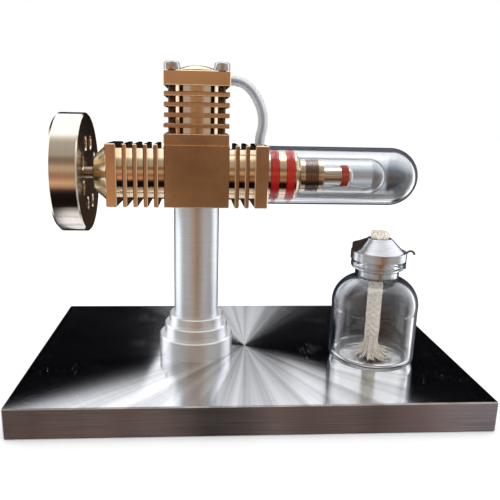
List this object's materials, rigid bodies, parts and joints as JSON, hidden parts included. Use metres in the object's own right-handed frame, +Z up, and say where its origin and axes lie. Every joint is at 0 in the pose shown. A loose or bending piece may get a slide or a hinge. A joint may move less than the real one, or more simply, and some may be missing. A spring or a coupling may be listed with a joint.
{
  "type": "stirling engine model",
  "caption": "Small hot-air engine on a metal plate: finned blocks on a column, flywheel, glass hot tube and a spirit lamp that heats it.",
  "frame": {"origin": "centre of the base plate's underside", "axes": "+X right along the engine axis towards the glass tube's closed end, +Y to the rear, +Z up"},
  "size_m": [0.15, 0.092, 0.1106],
  "materials": {
    "plate_metal": "face-turned top and brushed sides",
    "column_metal": "satin turned",
    "copper_brass": "polished red brass",
    "yellow_brass": "polished yellow brass",
    "wheel_metal": "polished, pale",
    "dark_copper": "dark copper, turned ribs",
    "screw_steel": "polished steel",
    "bearing_steel": "ground steel",
    "shaft_steel": "ground and polished",
    "piston_black": "graphite-grey, ground",
    "clear_glass": "clear borosilicate glass",
    "red_rubber": "red silicone rubber",
    "clear_hose": "translucent silicone tube",
    "cap_metal": "bright turned",
    "wire_steel": "dark spring wire",
    "wick_cotton": "braided cotton"
  },
  "bodies": {
    "frame": {"base_plate": "plate_metal", "column_screw": "screw_steel", "column_foot": "column_metal", "column_post": "column_metal", "post_screw": "screw_steel", "crankcase": "copper_brass", "crankcase_cover": "copper_brass", "bearing_housing": "copper_brass", "nose_cone": "yellow_brass", "bearing_outer_races": "bearing_steel", "bearing_balls": "bearing_steel", "cooler_stud": "screw_steel", "cooler_block": "copper_brass", "hot_tube": "clear_glass", "spigot_o_rings": "red_rubber", "guide_rod": "shaft_steel", "bumper_ring": "red_rubber", "power_cylinder": "copper_brass", "cylinder_liner": "shaft_steel", "cylinder_head": "copper_brass", "head_seal": "red_rubber", "head_dome": "yellow_brass", "head_bolts": "screw_steel", "hose_barbs": "yellow_brass", "air_hose": "clear_hose"},
    "crank": {"crankshaft": "shaft_steel", "crank_disc": "shaft_steel", "crank_pin": "shaft_steel", "flywheel": "wheel_metal", "flywheel_grub_screw": "screw_steel", "bearing_inner_races": "bearing_steel"},
    "conrod": {"connecting_rod": "cap_metal", "wrist_pin": "shaft_steel"},
    "piston": {"piston": "piston_black"},
    "displacer": {"displacer_tube": "clear_glass", "displacer_plug": "dark_copper", "displacer_collars": "yellow_brass"},
    "lamp": {"lamp_bottle": "clear_glass"},
    "lamp_cap": {"lamp_cap": "cap_metal", "lamp_wick": "wick_cotton", "lamp_clip": "wire_steel", "lamp_tab": "cap_metal"}
  },
  "joints": [
    {"name": "crank_spin", "type": "hinge", "parent": "frame", "child": "crank", "pos_m": [-0.0184, -0.0024, 0.0745], "axis": [1, 0, 0], "continuous": true},
    {"name": "rod_follow", "type": "hinge", "parent": "crank", "child": "conrod", "pos_m": [-0.0184, -0.0024, 0.072], "axis": [1, 0, 0], "continuous": true},
    {"name": "piston_slide", "type": "slide", "parent": "frame", "child": "piston", "axis": [0, 0, 1], "range_m": [0, 0.005]},
    {"name": "displacer_slide", "type": "slide", "parent": "frame", "child": "displacer", "axis": [1, 0, 0], "range_m": [0, 0.0065]},
    {"name": "lamp_slide", "type": "slide", "parent": "frame", "child": "lamp", "axis": [0, -1, 0], "range_m": [0, 0.018]},
    {"name": "cap_lift", "type": "slide", "parent": "lamp", "child": "lamp_cap", "axis": [0, 0, 1], "range_m": [0, 0.006]}
  ],
  "couplings": [
    {"joint": "rod_follow", "follows": "crank_spin", "ratio": -1}
  ]
}
